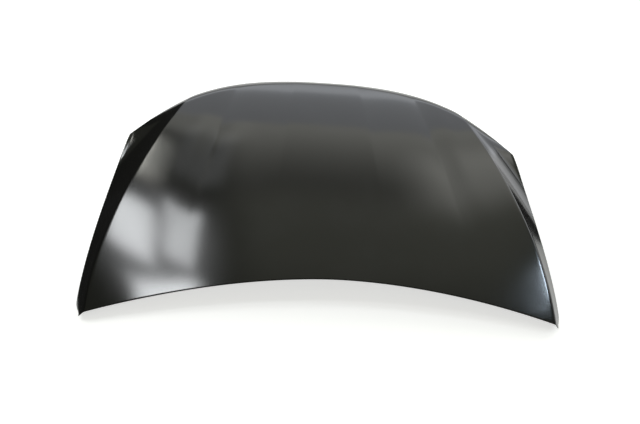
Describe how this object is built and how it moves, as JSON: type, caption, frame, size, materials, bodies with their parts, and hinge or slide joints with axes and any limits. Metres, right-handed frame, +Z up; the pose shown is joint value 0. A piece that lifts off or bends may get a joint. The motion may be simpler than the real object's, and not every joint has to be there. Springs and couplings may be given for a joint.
{
  "type": "car bonnet",
  "caption": "Primed steel car bonnet: a hemmed, creased outer skin over a ribbed and windowed inner frame, with hinge seats, a latch striker and a prop bracket.",
  "frame": {"origin": "middle of the bonnet's plan, on the surface it lies on", "axes": "+X across the bonnet to its right, +Y from the windscreen edge to the nose, +Z up through the outer skin"},
  "size_m": [1.4586, 0.9569, 0.1167],
  "materials": {
    "primed_skin": "semi-gloss black electrocoat primer",
    "primed_frame": "satin black electrocoat primer",
    "zinc_plate": "zinc-plated steel",
    "mastic": "matte anti-flutter mastic"
  },
  "bodies": {
    "root": {"outer_skin": "primed_skin", "inner_frame": "primed_frame", "hinge_reinforcement_left": "primed_frame", "hinge_reinforcement_right": "primed_frame", "hinge_nut_left_1": "zinc_plate", "hinge_nut_left_2": "zinc_plate", "hinge_nut_right_1": "zinc_plate", "hinge_nut_right_2": "zinc_plate", "striker_reinforcement": "primed_frame", "striker_base": "zinc_plate", "striker_loop": "zinc_plate", "striker_nut_1": "zinc_plate", "striker_nut_2": "zinc_plate", "striker_bolt_1": "zinc_plate", "striker_bolt_2": "zinc_plate", "prop_bracket": "primed_frame", "mastic_left_rear_1": "mastic", "mastic_left_rear_2": "mastic", "mastic_left_rear_3": "mastic", "mastic_left_front_1": "mastic", "mastic_left_front_2": "mastic", "mastic_left_front_3": "mastic", "mastic_right_rear_1": "mastic", "mastic_right_rear_2": "mastic", "mastic_right_rear_3": "mastic", "mastic_right_front_1": "mastic", "mastic_right_front_2": "mastic", "mastic_right_front_3": "mastic"}
  },
  "joints": []
}
